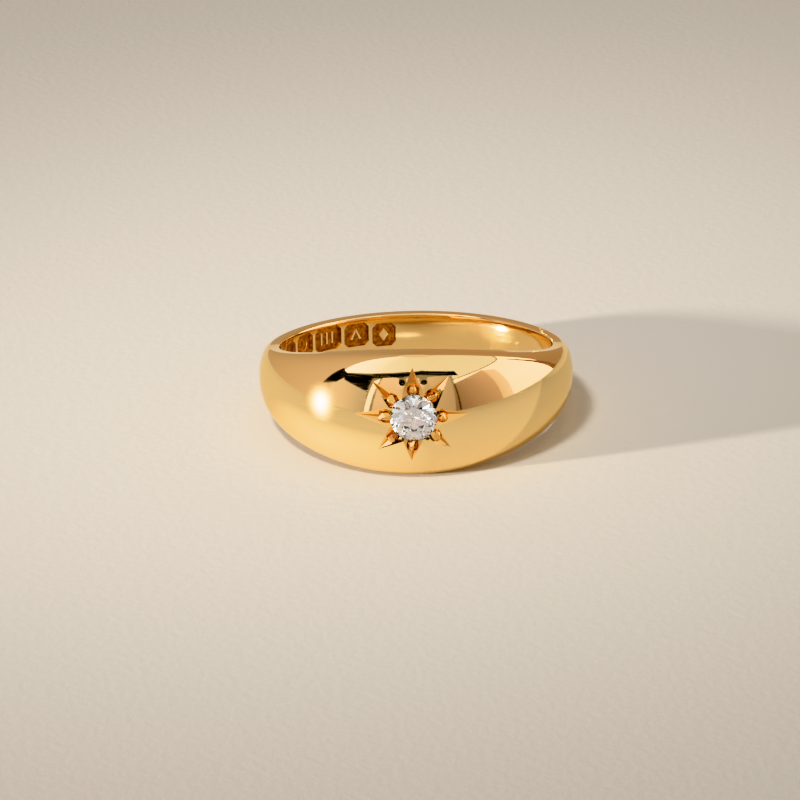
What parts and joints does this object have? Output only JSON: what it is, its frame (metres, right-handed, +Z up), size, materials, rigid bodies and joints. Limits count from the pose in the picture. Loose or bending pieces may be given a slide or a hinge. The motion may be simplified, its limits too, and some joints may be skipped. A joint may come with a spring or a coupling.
{
  "type": "flush set gypsy ring",
  "caption": "Tapered gold band swelling to a domed head, with a round diamond sunk flush in an engraved star, lying on its side.",
  "frame": {"origin": "centre of the ring's box on the surface it lies on", "axes": "+Z up, the head with the stone faces -Y, the finger hole runs nearly along Z and leans 8.2 degrees from it towards +Y"},
  "size_m": [0.0208, 0.0214, 0.0082],
  "materials": {
    "gold": "polished",
    "diamond": "facet cut"
  },
  "bodies": {
    "root": {"gold_ring": "gold", "diamond": "diamond"}
  },
  "joints": []
}
